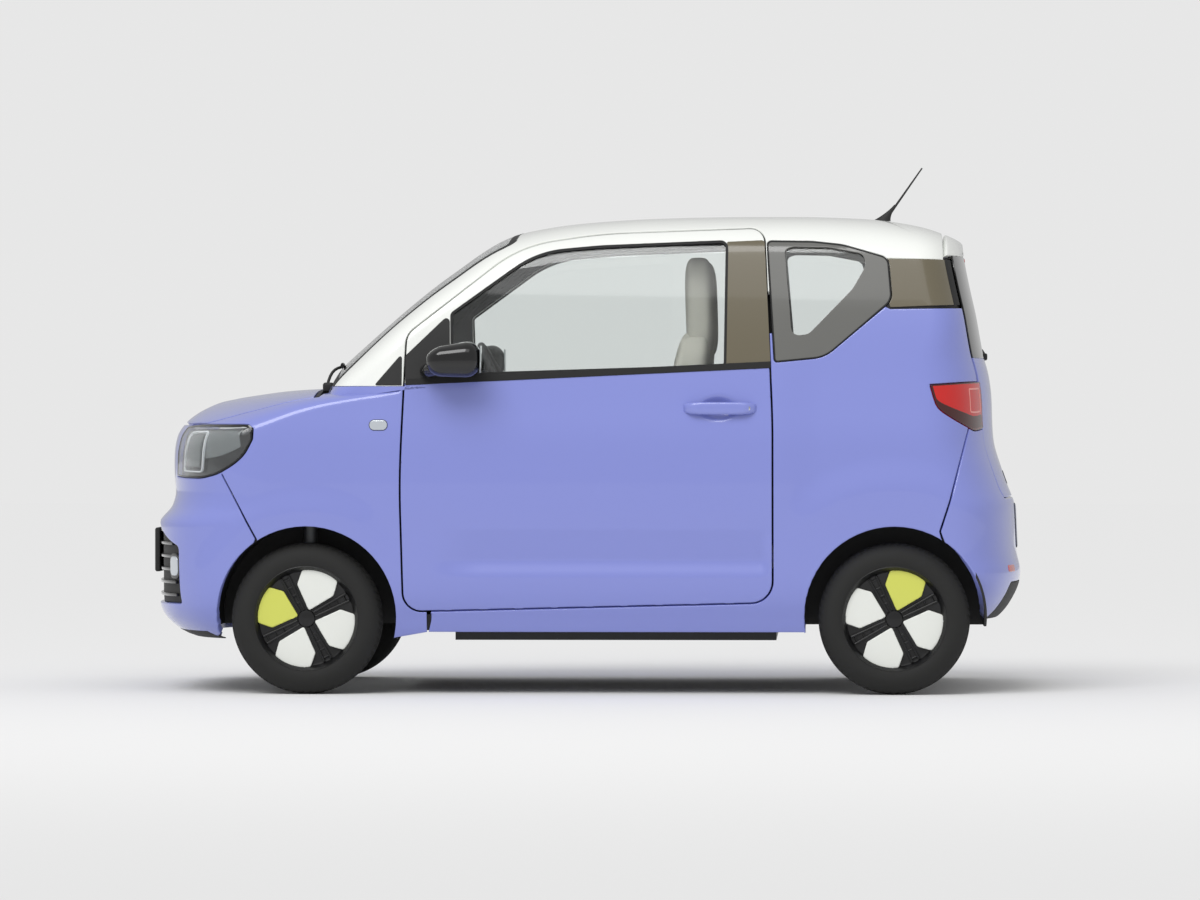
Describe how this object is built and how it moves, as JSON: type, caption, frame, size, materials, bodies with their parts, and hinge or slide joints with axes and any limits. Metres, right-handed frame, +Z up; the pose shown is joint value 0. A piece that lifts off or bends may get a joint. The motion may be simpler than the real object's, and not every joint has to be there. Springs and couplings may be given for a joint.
{
  "type": "electric microcar",
  "caption": "Short two-door electric microcar with a tall cabin, opening doors, tailgate and bonnet, and steered front wheels.",
  "frame": {"origin": "on the ground, midway along the car and between its sides", "axes": "+X forward, +Y to the car's left, +Z up"},
  "size_m": [2.9176, 1.744, 1.762],
  "materials": {
    "body_paint": "gloss lavender paint",
    "roof_paint": "gloss white paint",
    "clear_glass": "clear glass",
    "tinted_glass": "dark tinted glass",
    "film": "taupe gloss film",
    "black_trim": "grained black plastic",
    "black_gloss": "gloss black",
    "lamp_clear": "clear lamp cover",
    "lamp_red": "red lamp cover",
    "underbody": "black underbody coat",
    "battery_case": "satin black case",
    "cast_metal": "cast housing",
    "chassis_steel": "black chassis paint",
    "tyre_rubber": "black tyre rubber",
    "wheel_cover": "satin black cover with pale inserts",
    "interior_plastic": "dark moulded interior",
    "seat_cloth": "pale seat cloth"
  },
  "bodies": {
    "root": {"side_left": "body_paint", "side_right": "body_paint", "fenders": "body_paint", "front_bumper": "body_paint", "front_grille": "black_trim", "headlamps": "lamp_clear", "cowl": "black_trim", "rear_bumper": "body_paint", "rear_valance": "black_trim", "tail_lamps": "lamp_red", "upper_frame": "roof_paint", "windscreen": "clear_glass", "quarter_glass": "tinted_glass", "corner_trims": "film", "front_suspension": "chassis_steel", "drive_motor": "cast_metal", "rear_axle": "chassis_steel", "floor_pan": "underbody", "front_structure": "underbody", "wheel_liners": "black_trim", "battery_pack": "battery_case", "front_seats": "seat_cloth", "rear_seat": "seat_cloth", "dashboard": "interior_plastic", "antenna": "black_trim"},
    "door_left": {"door_panel_left": "body_paint", "door_frame_left": "roof_paint", "door_glass_left": "clear_glass", "mirror_left": "black_gloss"},
    "door_right": {"door_panel_right": "body_paint", "door_frame_right": "roof_paint", "door_glass_right": "clear_glass", "mirror_right": "black_gloss"},
    "tailgate": {"tailgate_panel": "body_paint", "tailgate_glass": "tinted_glass", "spoiler": "roof_paint"},
    "bonnet": {"bonnet": "body_paint"},
    "steering_wheel": {"steering_wheel": "interior_plastic"},
    "knuckle_left": {"knuckle_left": "cast_metal"},
    "knuckle_right": {"knuckle_right": "cast_metal"},
    "wheel_front_left": {"tyre_front_left": "tyre_rubber", "wheel_front_left": "wheel_cover"},
    "wheel_front_right": {"tyre_front_right": "tyre_rubber", "wheel_front_right": "wheel_cover"},
    "wheel_rear_left": {"tyre_rear_left": "tyre_rubber", "wheel_rear_left": "wheel_cover"},
    "wheel_rear_right": {"tyre_rear_right": "tyre_rubber", "wheel_rear_right": "wheel_cover"}
  },
  "joints": [
    {"name": "steer_left", "type": "hinge", "parent": "root", "child": "knuckle_left", "pos_m": [0.91, 0.61, 0.19], "axis": [0, -0.1644, 0.9864], "range_deg": [-32, 32]},
    {"name": "steer_right", "type": "hinge", "parent": "root", "child": "knuckle_right", "pos_m": [0.91, -0.61, 0.19], "axis": [0, 0.1644, 0.9864], "range_deg": [-32, 32]},
    {"name": "steering_wheel_turn", "type": "hinge", "parent": "root", "child": "steering_wheel", "pos_m": [0.27, 0.33, 1], "axis": [-0.8829, 0, 0.4695], "range_deg": [-450, 450]},
    {"name": "door_left_hinge", "type": "hinge", "parent": "root", "child": "door_left", "pos_m": [0.571, 0.717, 0.62], "axis": [0, 0, -1], "range_deg": [0, 65]},
    {"name": "door_right_hinge", "type": "hinge", "parent": "root", "child": "door_right", "pos_m": [0.571, -0.717, 0.62], "axis": [0, 0, 1], "range_deg": [0, 65]},
    {"name": "tailgate_hinge", "type": "hinge", "parent": "root", "child": "tailgate", "pos_m": [-1.1955, 0, 1.532], "axis": [0, 1, 0], "range_deg": [0, 75]},
    {"name": "bonnet_hinge", "type": "hinge", "parent": "root", "child": "bonnet", "pos_m": [0.89, 0, 1.014], "axis": [0, -1, 0], "range_deg": [0, 50]},
    {"name": "wheel_front_left_spin", "type": "hinge", "parent": "knuckle_left", "child": "wheel_front_left", "pos_m": [0.91, 0.65, 0.25], "axis": [0, 1, 0], "continuous": true},
    {"name": "wheel_front_right_spin", "type": "hinge", "parent": "knuckle_right", "child": "wheel_front_right", "pos_m": [0.91, -0.65, 0.25], "axis": [0, 1, 0], "continuous": true},
    {"name": "wheel_rear_left_spin", "type": "hinge", "parent": "root", "child": "wheel_rear_left", "pos_m": [-1.03, 0.65, 0.25], "axis": [0, 1, 0], "continuous": true},
    {"name": "wheel_rear_right_spin", "type": "hinge", "parent": "root", "child": "wheel_rear_right", "pos_m": [-1.03, -0.65, 0.25], "axis": [0, 1, 0], "continuous": true}
  ],
  "couplings": [
    {"joint": "steer_right", "follows": "steer_left", "ratio": 1},
    {"joint": "steering_wheel_turn", "follows": "steer_left", "ratio": 14}
  ]
}
